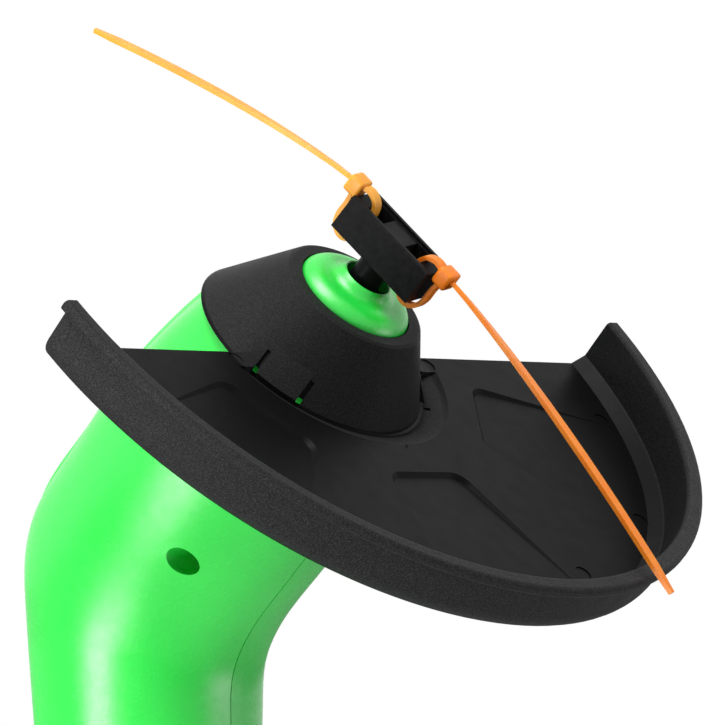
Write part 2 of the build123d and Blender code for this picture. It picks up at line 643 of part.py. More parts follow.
def half_housing(side):
    """One half of the housing: shell, ribs, bosses, battery opening and hinge ears."""
    with BuildPart() as core:
        loft(housing_sections(CORE_INSET, side))
    with BuildPart() as half:
        loft(housing_sections(0.0, side))
        add(hollow.part, mode=Mode.SUBTRACT)
        for x, z in HOUSING_SCREWS:
            add(boss(x, z, side) & core.part)
        for x, z in HOUSING_SCREWS:
            add(screw_way(x, z, side), mode=Mode.SUBTRACT)
        # battery opening at the back
        extrude(rect(level(DOOR_LOW, -30.0), 44.0, 2 * DOOR_HALF), amount=DOOR_HIGH,
                mode=Mode.SUBTRACT)
        # shallow relief for the door's hinge arm
        extrude(rect(level(DOOR_LOW - 6.0, RELIEF_X - 10.0), 20.0, 2 * BARREL_HALF + 0.8), amount=7.0,
                mode=Mode.SUBTRACT)
        # hinge ear
        extrude(ring(across(HINGE_X, HINGE_Z, side * EAR_IN), BARREL_R), amount=EAR_W * side)
        extrude(rect(across(HINGE_X + 3.2, HINGE_Z - 1.2, side * EAR_IN), 6.4, 3.4), amount=EAR_W * side)
        extrude(ring(across(HINGE_X, HINGE_Z), HINGE_PIN_R), amount=30.0 * side, mode=Mode.SUBTRACT)
    return half.part


housing_left = half_housing(-1)
export(housing_left, "housing_left")
housing_right = half_housing(1)
export(housing_right, "housing_right")

export(screw_set(HOUSING_SCREWS), "housing_screws")

with BuildPart() as battery_door:
    # curved panel flush with the housing
    door_foot = DOOR_LOW + DOOR_GAP
    door_head = DOOR_TOP - DOOR_TOP_GAP
    revolve(profile([(BAY_R, door_foot), (27.2, door_foot), (27.6, BEND_Z - 60.0), (27.85, door_head),
                     (BAY_R, door_head)], Plane.XZ), axis=Axis.Z)
    extrude(rect(level(DOOR_LOW, -30.0), 43.2, 2 * (DOOR_HALF - DOOR_GAP)), amount=DOOR_HIGH,
            mode=Mode.INTERSECT)
    # barrel on the hinge pin, and the arm that carries it
    extrude(ring(across(HINGE_X, HINGE_Z), BARREL_R), amount=BARREL_HALF, both=True)
    extrude(rect(across(HINGE_X + 2.4, HINGE_Z + 2.7), 3.0, 5.0), amount=BARREL_HALF, both=True)
    extrude(ring(across(HINGE_X, HINGE_Z), HINGE_PIN_R + PIN_FIT), amount=20.0, both=True,
            mode=Mode.SUBTRACT)
    # finger ridges near the latch end
    for drop in (9.0, 14.0):
        extrude(rect(level(DOOR_TOP - drop, -28.2), 1.8, 16.0), amount=2.4)
export(battery_door.part, "battery_door")

with BuildPart() as door_pin:
    extrude(ring(across(HINGE_X, HINGE_Z), HINGE_PIN_R - PRESS_FIT), amount=EAR_IN + EAR_W - 0.2, both=True)
export(door_pin.part, "door_pin")

# Batteries: tray open to the back, cells and end contacts
BAY_LOW = DOOR_LOW + 6.0
BAY_HIGH = DOOR_TOP - 6.0
BAY_HALF = CELL_PITCH + 0.6
with BuildPart() as battery_tray:
    extrude(rect(level(BAY_LOW - 2.0), 2 * BAY_HALF, 2 * BAY_HALF + 3.0),
            amount=BAY_HIGH - BAY_LOW + 4.0)
    extrude(rect(level(BAY_LOW, -2.0), 2 * BAY_HALF, 2 * BAY_HALF),
            amount=BAY_HIGH - BAY_LOW, mode=Mode.SUBTRACT)
export(battery_tray.part, "battery_tray")

CELL_SPOTS = [(x, y) for x in (-1, 1) for y in (-1, 1)]
with BuildPart() as battery_cells:
    for x, y in CELL_SPOTS:
        spot = level(BAY_LOW + 2.6, CELL_X + x * CELL_PITCH / 2, y * CELL_PITCH / 2)
        extrude(ring(spot, CELL_R), amount=CELL_L)
        tip = 1 if x * y > 0 else -1
        end = spot.offset(CELL_L if tip > 0 else 0.0)
        extrude(ring(end, 2.6), amount=1.2 * tip)
export(battery_cells.part, "battery_cells")

with BuildPart() as battery_contacts:
    for x, y in CELL_SPOTS:
        for z in (BAY_LOW + 0.3, BAY_HIGH - 0.9):
            extrude(rect(level(z, CELL_X + x * CELL_PITCH / 2, y * CELL_PITCH / 2), 10.0, 10.0),
                    amount=0.6)
export(battery_contacts.part, "battery_contacts")

# Pole and its collar
FLUTES = 24
FLUTES_AT_R = 19.9
FLUTE_R = 1.3
with BuildPart() as pole:
    extrude(ring(level(POLE_LOW), POLE_R, POLE_R - POLE_WALL), amount=POLE_HIGH - POLE_LOW)
export(pole.part, "pole")

with BuildPart() as pole_collar:
    collar = [(POLE_R + 0.1, -1.0), (18.9, -1.0), (19.4, -2.5), (19.4, -17.0), (17.0, -22.0),
              (POLE_R + 1.2, -23.0), (POLE_R + 0.1, -23.0)]
    side = Plane(origin=(0, 0, SOCKET_Z), x_dir=(1, 0, 0), z_dir=(0, -1, 0))
    revolve(profile(collar, side), axis=Axis.Z)
    for i in range(FLUTES):
        turn = 2 * pi * i / FLUTES
        flute = level(SOCKET_Z - 18.0, FLUTES_AT_R * cos(turn), FLUTES_AT_R * sin(turn))
        extrude(ring(flute, FLUTE_R), amount=14.5, mode=Mode.SUBTRACT)
export(pole_collar.part, "pole_collar")

with BuildPart() as handle_ferrule:
    collar = [(POLE_R + 0.1, 12.0), (POLE_R + 1.2, 12.0), (15.6, 9.0), (16.6, 2.0), (16.6, 0.2),
              (POLE_R + 0.1, 0.2)]
    side = Plane(origin=(0, 0, HANDLE_TOP), x_dir=(1, 0, 0), z_dir=(0, -1, 0))
    revolve(profile(collar, side), axis=Axis.Z)
export(handle_ferrule.part, "handle_ferrule")

# Handle halves
TRIGGER_SLOT = 5.5
LOCK_Z = -228.0
LOCK_R = 6.0
SEAT_X = -3.5               # seat of the button's spring
SWITCH_Z = -251.0
with BuildPart() as handle_shell:
    loft(handle_sections(0.0))
    loft(handle_sections(WALL, 0.6), mode=Mode.SUBTRACT)

with BuildPart() as handle_core:
    loft(handle_sections(CORE_INSET))

with BuildPart() as handle_ribs:
    add(pole_web(-195.0, 2.5))
    add(pole_web(-202.5, 2.5))
    extrude(rect(along_x(SEAT_X - 1.0, LOCK_Z), 60.0, 16.0), amount=2.0)
    extrude(rect(along_x(-13.2, SWITCH_Z), 60.0, 3.0), amount=3.4)
    add(handle_core.part, mode=Mode.INTERSECT)


def half_handle(side):
    """One half of the handle: shell, ribs, bosses and the openings for trigger and button."""
    with BuildPart() as half:
        add(handle_shell.part)
        add(handle_ribs.part)
        for x, z in HANDLE_SCREWS:
            add(boss(x, z, side) & handle_core.part)
        for x, z in HANDLE_SCREWS:
            add(screw_way(x, z, side), mode=Mode.SUBTRACT)
        extrude(ring(level(POLE_LOW - 2.0), PIPE_BORE), amount=40.0, mode=Mode.SUBTRACT)
        # trigger slot and the pin that crosses it
        extrude(rect(level(-268.0, 24.0), 36.0, 2 * TRIGGER_SLOT), amount=61.0, mode=Mode.SUBTRACT)
        ear = across(TRIGGER_PIVOT[0], TRIGGER_PIVOT[1], side * (TRIGGER_SLOT + 0.1))
        extrude(ring(ear, 3.2), amount=4.0 * side)
        extrude(rect(ear, 3.0, 3.0), amount=6.4 * side)
        extrude(ring(across(*TRIGGER_PIVOT), TRIGGER_PIN_R), amount=9.0 * side, mode=Mode.SUBTRACT)
        # button hole
        extrude(ring(along_x(-40.0, LOCK_Z), LOCK_R + 0.3), amount=30.0, mode=Mode.SUBTRACT)
        # nothing on the other side of the seam
        extrude(rect(across(0, 0, side * SEAM), 2000.0, 2000.0), amount=-200.0 * side,
                mode=Mode.SUBTRACT)
    return half.part


handle_left = half_handle(-1)
export(handle_left, "handle_left")
handle_right = half_handle(1)
export(handle_right, "handle_right")

export(screw_set(HANDLE_SCREWS), "handle_screws")

# Grip sleeve over the lower part of the handle
GRIP_TOP = -300.0
GRIP_LOW = -388.0
with BuildPart() as grip_sleeve:
    loft(handle_sections(-1.7))
    loft(handle_sections(-0.2, 0.6), mode=Mode.SUBTRACT)
    extrude(rect(level(GRIP_LOW), 80.0, 80.0), amount=GRIP_TOP - GRIP_LOW, mode=Mode.INTERSECT)
export(grip_sleeve.part, "grip_sleeve")

# End piece with the hanging hole
with BuildPart() as hang_loop:
    extrude(oval(level(HANDLE_END - 0.2), 18.4, 16.4), amount=-9.0)
    fillet(hang_loop.edges().sort_by(Axis.Z)[0], 5.0)
    extrude(ring(across(0, HANG_Z), 9.0), amount=4.5, both=True)
    extrude(rect(across(0, HANG_Z + 8.0), 18.0, 16.0), amount=4.5, both=True)
    extrude(ring(across(0, HANG_Z), HANG_R), amount=20.0, both=True, mode=Mode.SUBTRACT)
export(hang_loop.part, "hang_loop")

# Trigger on its pin
with BuildPart() as trigger:
    with BuildSketch(Plane.XZ):
        with BuildLine():
            Polyline((8.2, -217.0), (9.0, -210.4), (14.0, -209.4), (21.0, -211.0))
            Spline((21.0, -211.0), (25.6, -221.0), (24.6, -240.0), (28.2, -259.0), (26.4, -263.6))
            Polyline((26.4, -263.6), (18.0, -264.0), (12.4, -257.0), (12.4, -224.0), (8.2, -217.0))
        make_face()
    extrude(amount=TRIGGER_SLOT - 0.5, both=True)
    extrude(ring(across(*TRIGGER_PIVOT), TRIGGER_PIN_R + PIN_FIT), amount=20.0, both=True, mode=Mode.SUBTRACT)
export(trigger.part, "trigger")

with BuildPart() as trigger_pin:
    extrude(ring(across(*TRIGGER_PIVOT), TRIGGER_PIN_R - PRESS_FIT), amount=8.8, both=True)
export(trigger_pin.part, "trigger_pin")

# Push switch behind the trigger
PLUNGER_Z = -242.0
PLUNGER_R = 2.4
SWITCH_FACE = 4.0
SWITCH_BACK = -9.6
with BuildPart() as switch_body:
    extrude(rect(along_x(SWITCH_BACK, SWITCH_Z), 13.0, 26.0), amount=SWITCH_FACE - SWITCH_BACK)
    extrude(ring(along_x(-6.0, PLUNGER_Z), PLUNGER_R + 0.06), amount=20.0, mode=Mode.SUBTRACT)
export(switch_body.part, "switch_body")

with BuildPart() as switch_plunger:
    extrude(ring(along_x(-1.4, PLUNGER_Z), PLUNGER_R), amount=12.0)
    extrude(ring(along_x(10.0, PLUNGER_Z), 4.4), amount=1.0)
    extrude(ring(along_x(11.0, PLUNGER_Z), 1.5), amount=0.8)
export(switch_plunger.part, "switch_plunger")


def coil(start, x_dir, length, radius, wire, turns):
    """A round-wire spring as one tube; its least gap to itself is printed."""
    pitch = length / turns
    with BuildPart() as spring:
        with BuildLine() as path:
            Helix(pitch=pitch, height=length, radius=radius, center=start, direction=x_dir)
        with BuildSketch(Plane(origin=path.line @ 0, z_dir=path.line % 0)):
            Circle(wire / 2)
        sweep(path=path.line, is_frenet=True)
    print("spring least gap", round(pitch * cos(atan2(pitch, 2 * pi * radius)) - wire, 3))
    return spring.part


switch_spring = coil((SWITCH_FACE + 0.6, 0, PLUNGER_Z), (1, 0, 0), 4.6, 3.3, 0.6, 4)
export(switch_spring, "switch_spring")

# Lock-off button and its spring
with BuildPart() as lock_button:
    extrude(ring(along_x(-21.6, LOCK_Z), LOCK_R), amount=9.4)
    fillet(lock_button.edges().sort_by(Axis.X)[0], 1.4)
    extrude(ring(along_x(-12.4, LOCK_Z), LOCK_R + 1.4), amount=1.6)
export(lock_button.part, "lock_button")

lock_spring = coil((-10.3, 0, LOCK_Z), (1, 0, 0), 5.2, 3.8, 0.6, 4)
export(lock_spring, "lock_spring")

# Leads, held inside all the way
LEAD_R = 0.8
LEAD_BEND = 4.0
SWITCH_TOP = -237.4


def lead(points):
    """A round lead along straight runs with rounded corners."""
    with BuildPart() as wire:
        with BuildLine() as path:
            FilletPolyline(*points, radius=LEAD_BEND)
        with BuildSketch(Plane(origin=path.line @ 0, z_dir=path.line % 0)):
            Circle(LEAD_R)
        sweep(path=path.line)
    return wire.part


def lead_start(side):
    """Point just behind a motor terminal."""
    spot = head_plane(MOTOR_BACK - 7.2, s=TERMINAL_S * side).origin
    return (spot.X, spot.Y, spot.Z)


TRAY_TOP = BAY_HIGH + 3.4
plus = lead_start(1)
minus = lead_start(-1)
low_turn = head_plane(MOTOR_BACK - 20.0).origin
lead_red = lead([plus, (low_turn.X, TERMINAL_S, low_turn.Z), (4.0, TERMINAL_S, TRAY_TOP + 14.0),
                 (4.0, TERMINAL_S, TRAY_TOP)])
export(lead_red, "lead_red")
SIDE_Y = 19.4
lead_black = lead([minus, (low_turn.X, -TERMINAL_S, low_turn.Z), (10.0, -SIDE_Y, TRAY_TOP + 16.0),
                   (10.0, -SIDE_Y, BAY_LOW - 4.0), (4.0, -4.0, BEND_Z - 128.0), (4.0, -4.0, -214.0),
                   (1.0, -3.0, -226.0), (1.0, -3.0, SWITCH_TOP)])
export(lead_black, "lead_black")
lead_white = lead([(4.0, 4.0, BAY_LOW - 2.9), (4.0, 4.0, -214.0), (1.0, 3.0, -226.0),
                   (1.0, 3.0, SWITCH_TOP)])
export(lead_white, "lead_white")
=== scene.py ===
import json
from math import cos, radians, sin

import bmesh
import bpy
from mathutils import Matrix, Vector

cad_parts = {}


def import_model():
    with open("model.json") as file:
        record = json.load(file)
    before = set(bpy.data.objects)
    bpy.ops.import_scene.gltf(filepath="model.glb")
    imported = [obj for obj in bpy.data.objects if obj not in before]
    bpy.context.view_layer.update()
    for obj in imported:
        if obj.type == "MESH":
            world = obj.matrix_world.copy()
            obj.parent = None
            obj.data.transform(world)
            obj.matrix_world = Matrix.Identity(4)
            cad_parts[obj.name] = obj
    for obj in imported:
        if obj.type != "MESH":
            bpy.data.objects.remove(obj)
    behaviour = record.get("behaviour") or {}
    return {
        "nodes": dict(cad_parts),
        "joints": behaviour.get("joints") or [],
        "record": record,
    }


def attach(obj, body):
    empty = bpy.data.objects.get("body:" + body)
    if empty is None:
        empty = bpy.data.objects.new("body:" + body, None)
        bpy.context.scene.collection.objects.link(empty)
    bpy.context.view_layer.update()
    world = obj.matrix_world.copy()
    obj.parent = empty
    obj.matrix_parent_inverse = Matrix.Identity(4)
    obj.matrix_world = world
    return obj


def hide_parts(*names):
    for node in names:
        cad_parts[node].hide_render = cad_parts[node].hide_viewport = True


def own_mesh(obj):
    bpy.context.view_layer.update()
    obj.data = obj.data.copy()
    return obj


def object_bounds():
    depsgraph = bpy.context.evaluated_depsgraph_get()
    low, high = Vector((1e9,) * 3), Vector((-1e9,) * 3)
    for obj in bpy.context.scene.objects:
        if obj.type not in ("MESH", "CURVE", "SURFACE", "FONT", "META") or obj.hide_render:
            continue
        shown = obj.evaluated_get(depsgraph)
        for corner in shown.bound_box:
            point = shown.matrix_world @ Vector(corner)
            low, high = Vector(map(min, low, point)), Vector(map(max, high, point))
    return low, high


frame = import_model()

CAD_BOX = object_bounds()
MM = 0.001
NODES = frame["nodes"]
SLOTS = {subpart["node"]: subpart["material_slot"] for subpart in frame["record"]["subparts"]}

# The motor axis and the guard's own axis, which leans a little less
SPIN = next(joint for joint in frame["joints"] if joint["name"] == "cutter_spin")
HEAD_O = Vector(SPIN["pos_m"])
AXIS_N = Vector(SPIN["axis"])
SIDE = Vector((0.0, 1.0, 0.0))
AXIS_G = SIDE.cross(AXIS_N)
GUARD_LEAN = radians(43.0)
GUARD_AHEAD = 2.4 * MM
GUARD_N = Vector((sin(GUARD_LEAN), 0.0, cos(GUARD_LEAN)))
GUARD_O = HEAD_O + SIDE.cross(GUARD_N) * GUARD_AHEAD


# Shader helpers

def shader(name, **values):
    """A material with one principled shader; plain values are set on the shader's own sockets."""
    material = bpy.data.materials.new(name)
    material.use_nodes = True
    bsdf = material.node_tree.nodes["Principled BSDF"]
    for socket, value in values.items():
        bsdf.inputs[socket.replace("_", " ")].default_value = value
    return material


def connect(material, value, socket):
    """Links an output to a socket, or sets a plain value on it."""
    if isinstance(value, bpy.types.NodeSocket):
        material.node_tree.links.new(value, socket)
    else:
        socket.default_value = value


def put(material, kind, inputs, **settings):
    """Adds a node; each input is a plain value or another node's output."""
    node = material.node_tree.nodes.new(kind)
    for name, value in settings.items():
        setattr(node, name, value)
    for name, value in inputs.items():
        connect(material, value, node.inputs[name])
    return node


def feed(material, socket, output):
    """Links an output to a socket of the principled shader."""
    bsdf = material.node_tree.nodes["Principled BSDF"]
    material.node_tree.links.new(output, bsdf.inputs[socket])


def place(material):
    """Position on the object, in metres, in the frame of the part."""
    return put(material, "ShaderNodeTexCoord", {}).outputs["Object"]


def noise(material, scale, detail=2.0, stretch=(1.0, 1.0, 1.0)):
    """Noise from 0 to 1; scale is in cells per metre."""
    where = put(material, "ShaderNodeMapping", {"Vector": place(material), "Scale": stretch})
    inputs = {"Vector": where.outputs["Vector"], "Scale": scale, "Detail": detail}
    return put(material, "ShaderNodeTexNoise", inputs).outputs["Fac"]


def spread(material, value, low, high, start=0.3, end=0.7):
    """Maps a value from one range to another, held at both ends."""
    inputs = {"Value": value, "From Min": start, "From Max": end, "To Min": low, "To Max": high}
    return put(material, "ShaderNodeMapRange", inputs).outputs["Result"]


def tint(material, value, low, high, start=0.3, end=0.7):
    """A colour that runs between two as a value does."""
    ramp = put(material, "ShaderNodeValToRGB", {"Fac": value})
    for stop, position, colour in zip(ramp.color_ramp.elements, (start, end), (low, high)):
        stop.position = position
        stop.color = (*colour, 1.0)
    return ramp.outputs["Color"]


def mix(material, share, first, second):
    """A colour part way from one to another; the three sockets are told apart by number."""
    node = put(material, "ShaderNodeMix", {0: share, 6: first, 7: second}, data_type="RGBA")
    return node.outputs[2]


def calc(material, operation, first, second=0.0):
    """One arithmetic step between two values."""
    return put(material, "ShaderNodeMath", {0: first, 1: second}, operation=operation).outputs[0]


def measure(material, operation, first, second=(0.0, 0.0, 0.0)):
    """One step between two vectors."""
    node = put(material, "ShaderNodeVectorMath", {0: first, 1: second}, operation=operation)
    return node.outputs["Vector" if operation == "SUBTRACT" else "Value"]


def bump(material, height, depth, strength):
    """Surface relief of a depth in metres."""
    inputs = {"Height": height, "Distance": depth, "Strength": strength}
    return put(material, "ShaderNodeBump", inputs).outputs["Normal"]


def dress(name, material):
    """Gives a model node its material."""
    slots = NODES[name].material_slots
    if slots:
        slots[0].material = material
    else:
        NODES[name].data.materials.append(material)


# Materials

def green_plastic():
    """Bright green moulded plastic with a fine spark-eroded grain."""
    m = shader("green_plastic", Specular_IOR_Level=0.75)
    feed(m, "Base Color", tint(m, noise(m, scale=45.0, detail=3.0),
                               low=(0.016, 0.66, 0.054), high=(0.023, 0.73, 0.066)))
    feed(m, "Roughness", spread(m, noise(m, scale=260.0, detail=3.0), low=0.24, high=0.30))
    feed(m, "Normal", bump(m, noise(m, scale=5200.0, detail=1.0), depth=0.06 * MM, strength=0.7))
    return m


# Bounds of the guard's grained zones: distance out from its axis and height along it
COLLAR_OUT = (34.0 * MM, 35.0 * MM)
COLLAR_FOOT = (-2.3 * MM, -1.9 * MM)
RIM_OUT = (95.0 * MM, 96.5 * MM)
GRAIN_ROUGHNESS = 0.08      # added to the roughness in the grained zones
FLOOR_RELIEF = 0.15         # relief of the smooth floor, as a share of the grained zones'


def guard_plastic():
    """Black guard: smooth satin floor, grained collar and rim. The grained zones' base colour is
    lighter and has pale specks, partly the grain's own matte tone and partly painted sheen and painted
    sparkle highlights.
    """
    m = shader("guard_plastic", Specular_IOR_Level=0.055)
    offset = measure(m, "SUBTRACT", place(m), GUARD_O)
    height = measure(m, "DOT_PRODUCT", offset, GUARD_N)
    length = measure(m, "LENGTH", offset)
    out = calc(m, "SQRT", calc(m, "SUBTRACT", calc(m, "MULTIPLY", length, length),
                               calc(m, "MULTIPLY", height, height)))
    on_collar = calc(m, "MULTIPLY", spread(m, out, 1.0, 0.0, *COLLAR_OUT),
                     spread(m, height, 0.0, 1.0, *COLLAR_FOOT))
    on_rim = spread(m, out, 0.0, 1.0, *RIM_OUT)
    grained = calc(m, "MAXIMUM", on_collar, on_rim)
    speck = noise(m, scale=3400.0, detail=2.0)
    # Base colours follow the specks. The collar's and rim's lighter grey and pale specks are partly
    # their grain's matte tone and partly painted sheen and painted sparkle highlights.
    smooth = tint(m, speck, (0.0018, 0.0018, 0.0020), (0.0065, 0.0065, 0.0071), start=0.42, end=0.72)
    collar = tint(m, speck, (0.012, 0.012, 0.0125), (0.033, 0.033, 0.034), start=0.42, end=0.76)
    rim = tint(m, speck, (0.016, 0.016, 0.0166), (0.054, 0.054, 0.0555), start=0.42, end=0.76)
    feed(m, "Base Color", mix(m, on_rim, mix(m, on_collar, smooth, collar), rim))
    satin = spread(m, noise(m, scale=180.0, detail=3.0), low=0.38, high=0.44)
    feed(m, "Roughness", calc(m, "ADD", satin, calc(m, "MULTIPLY", grained, GRAIN_ROUGHNESS)))
    share = calc(m, "ADD", calc(m, "MULTIPLY", grained, 1.0 - FLOOR_RELIEF), FLOOR_RELIEF)
    feed(m, "Normal", bump(m, calc(m, "MULTIPLY", speck, share), depth=0.16 * MM, strength=0.9))
    return m


def holder_plastic():
    """Satin black plastic with faint moulding marks."""
    m = shader("holder_plastic", Specular_IOR_Level=0.06)
    feed(m, "Base Color", tint(m, noise(m, scale=700.0, detail=3.0),
                               low=(0.0045, 0.0045, 0.005), high=(0.010, 0.010, 0.011)))
    feed(m, "Roughness", spread(m, noise(m, scale=320.0, detail=4.0), low=0.30, high=0.45))
    feed(m, "Normal", bump(m, noise(m, scale=1500.0), depth=0.03 * MM, strength=0.4))
    return m


def tie_nylon(name, low, high):
    """Orange nylon that lets light through."""
    m = shader(name, Subsurface_Weight=0.3, Subsurface_Radius=(0.003, 0.001, 0.0003),
               Subsurface_Scale=1.0, Specular_IOR_Level=0.3)
    feed(m, "Base Color", tint(m, noise(m, scale=160.0), low, high))
    feed(m, "Roughness", spread(m, noise(m, scale=500.0), low=0.34, high=0.45))
    feed(m, "Normal", bump(m, noise(m, scale=1200.0), depth=0.03 * MM, strength=0.3))
    return m


# Darkest and lightest colour of a black surface, as multiples of its shade
BLACK_LOW = (1.0, 1.0, 1.04)
BLACK_HIGH = (1.9, 1.9, 1.98)


def dark_plastic(name, shade, rough, grain):
    """Black plastic, rubber or magnet; grain is the depth of its texture in metres."""
    m = shader(name, Specular_IOR_Level=0.35)
    low, high = ([shade * part for part in colour] for colour in (BLACK_LOW, BLACK_HIGH))
    feed(m, "Base Color", tint(m, noise(m, scale=900.0, detail=3.0), low, high))
    feed(m, "Roughness", spread(m, noise(m, scale=240.0, detail=3.0), *rough))
    feed(m, "Normal", bump(m, noise(m, scale=2200.0), depth=grain, strength=0.5))
    return m


def metal(name, low, high, rough, stretch=(1.0, 1.0, 1.0)):
    """Bare or plated metal with drawn marks; stretch sets the marks' direction."""
    m = shader(name, Metallic=1.0)
    feed(m, "Base Color", tint(m, noise(m, scale=600.0, detail=4.0, stretch=stretch), low, high))
    feed(m, "Roughness", spread(m, noise(m, scale=900.0, detail=3.0, stretch=stretch), *rough))
    feed(m, "Normal", bump(m, noise(m, scale=1800.0, stretch=stretch), depth=0.02 * MM, strength=0.4))
    return m


def lead_skin(name, low, high):
    """Soft skin of a lead or a battery cell."""
    m = shader(name, Specular_IOR_Level=0.4)
    feed(m, "Base Color", tint(m, noise(m, scale=300.0), low, high))
    feed(m, "Roughness", spread(m, noise(m, scale=400.0), low=0.4, high=0.55))
    return m


def pole_coat():
    """Dark powder coat with orange-peel relief."""
    m = shader("pole_coat", Specular_IOR_Level=0.5)
    feed(m, "Base Color", tint(m, noise(m, scale=1200.0, detail=3.0),
                               low=(0.022, 0.022, 0.024), high=(0.034, 0.034, 0.037)))
    feed(m, "Roughness", spread(m, noise(m, scale=300.0), low=0.38, high=0.5))
    feed(m, "Normal", bump(m, noise(m, scale=1100.0, detail=1.0), depth=0.06 * MM, strength=0.4))
    return m


MATERIALS = {
    "green_shell": green_plastic(),
    "guard_black": guard_plastic(),
    "holder_black": holder_plastic(),
    "tie_orange": tie_nylon("tie_orange", (0.98, 0.22, 0.010), (1.0, 0.27, 0.018)),
    "screw_steel": metal("screw_zinc", (0.42, 0.42, 0.43), (0.60, 0.60, 0.61), rough=(0.28, 0.42)),
    "pin_steel": metal("ground_steel", (0.52, 0.52, 0.53), (0.66, 0.66, 0.67), rough=(0.18, 0.3),
                       stretch=(1.0, 0.05, 1.0)),
    "motor_steel": metal("plated_steel", (0.50, 0.51, 0.52), (0.62, 0.63, 0.64), rough=(0.22, 0.36)),
    "magnet": dark_plastic("sintered_magnet", shade=0.05, rough=(0.5, 0.65), grain=0.06 * MM),
    "bush_brass": metal("bush_brass", (0.60, 0.42, 0.16), (0.74, 0.55, 0.24), rough=(0.25, 0.38)),
    "inner_plastic": dark_plastic("inner_plastic", shade=0.02, rough=(0.45, 0.58), grain=0.04 * MM),
    "cell_jacket": lead_skin("cell_jacket", (0.05, 0.13, 0.33), (0.07, 0.17, 0.40)),
    "contact_metal": metal("nickel", (0.60, 0.59, 0.56), (0.72, 0.71, 0.68), rough=(0.2, 0.32)),
    "pole_coat": pole_coat(),
    "trim_black": dark_plastic("trim_black", shade=0.009, rough=(0.36, 0.48), grain=0.06 * MM),
    "grip_rubber": dark_plastic("grip_rubber", shade=0.010, rough=(0.62, 0.75), grain=0.1 * MM),
    "lead_red": lead_skin("lead_red", (0.42, 0.015, 0.012), (0.52, 0.025, 0.02)),
    "lead_black": lead_skin("lead_black", (0.012, 0.012, 0.012), (0.022, 0.022, 0.022)),
    "lead_white": lead_skin("lead_white", (0.70, 0.70, 0.67), (0.80, 0.80, 0.77)),
}
# The far tie's nylon is a paler, yellower copy of the orange one: painted light, standing in for the
# brighter light on that tie.
TIE_PAINTED_BRIGHTER = tie_nylon("tie_painted_brighter", (0.97, 0.36, 0.035), (1.0, 0.42, 0.05))
for node_name, slot_name in SLOTS.items():
    dress(node_name, MATERIALS[slot_name])


# Cutting ties: strap with edge rails and teeth on its inner face, and a block head

HOLDER_YAW = 14.0
TIE_W = 2.7 * MM
TIE_T = 1.1 * MM
RAIL_W = 0.45 * MM
TOOTH = 0.62 * MM
TEETH_DEPTH = (0.14 * MM, 0.40 * MM)
TAIL_STEPS = 12
TAIL_BEND = 0.6             # the droop grows with this power of the way along
TWIST_END = 0.6             # the twist has faded out this far along
TWIST_FADE = 1.5            # power of the way left to that point that the twist follows
TIP_SHARE = 0.45            # width of the tip, as a share of the strap's
TIE_HEAD_SIZE = (4.2 * MM, 5.0 * MM, 4.6 * MM)
TIE_HEAD_ROUND = 0.8 * MM

# Places on a tie: distance out from the motor axis and height along it; the loop's are in millimetres
TAIL_START = (16.9 * MM, 37.7 * MM)
TIE_HEAD = (15.9 * MM, 37.4 * MM)
LOOP = [(15.6, 36.0), (15.2, 32.4), (15.2, 29.3), (14.4, 26.7), (12.8, 25.3), (10.8, 25.0), (9.0, 26.2),
        (8.2, 28.8), (8.2, 32.0), (8.2, 35.2), (9.2, 37.6), (11.2, 38.7), (13.2, 38.7), (15.6, 37.8)]
TINY = 1e-9


def turned(turn):
    """Outward and sideways directions of the holder, turned about the motor axis."""
    out = AXIS_G * cos(radians(turn)) + SIDE * sin(radians(turn))
    return out, AXIS_N.cross(out)


def curve_through(points, per_span=8):
    """Points of a smooth curve through others."""
    padded = [points[0] * 2 - points[1], *points, points[-1] * 2 - points[-2]]
    path = []
    for a, b, c, d in zip(padded, padded[1:], padded[2:], padded[3:]):
        for i in range(per_span):
            t = i / per_span
            path.append(0.5 * (2 * b + (c - a) * t + (2 * a - 5 * b + 4 * c - d) * t ** 2
                               + (3 * b - a - 3 * c + d) * t ** 3))
    return path + [points[-1]]


def even_steps(path, step):
    """Points at even distances along a polyline, from its first point to its last."""
    reach = [0.0]
    for a, b in zip(path, path[1:]):
        reach.append(reach[-1] + (b - a).length)
    count = max(1, round(reach[-1] / step))
    spots = []
    span = 0
    for i in range(count + 1):
        goal = reach[-1] * i / count
        while span < len(path) - 2 and reach[span + 1] < goal:
            span += 1
        share = (goal - reach[span]) / max(reach[span + 1] - reach[span], TINY)
        spots.append(path[span].lerp(path[span + 1], share))
    return spots


def strap_ring(bm, spot, along, across, width, dip):
    """One cross-section of the strap: flat outer face, rails and a toothed floor on the inner face."""
    lift = along.cross(across).normalized()
    half = width / 2
    rail = half - RAIL_W * width / TIE_W
    top = TIE_T / 2
    outline = [(-half, top), (half, top), (half, -top), (rail, -top), (rail, dip - top),
               (-rail, dip - top), (-rail, -top), (-half, -top)]
    return [bm.verts.new(spot + across * u + lift * v) for u, v in outline]


def strap(bm, spots, sideways, widths):
    """A toothed strap along points, with its sideways direction and width at each."""
    rings = []
    for i, spot in enumerate(spots):
        along = (spots[min(i + 1, len(spots) - 1)] - spots[max(i - 1, 0)]).normalized()
        rings.append(strap_ring(bm, spot, along, sideways[i], widths[i], TEETH_DEPTH[i % 2]))
    for a, b in zip(rings, rings[1:]):
        for i in range(len(a)):
            j = (i + 1) % len(a)
            bm.faces.new((a[i], a[j], b[j], b[i]))
    bm.faces.new(rings[0])
    bm.faces.new(list(reversed(rings[-1])))


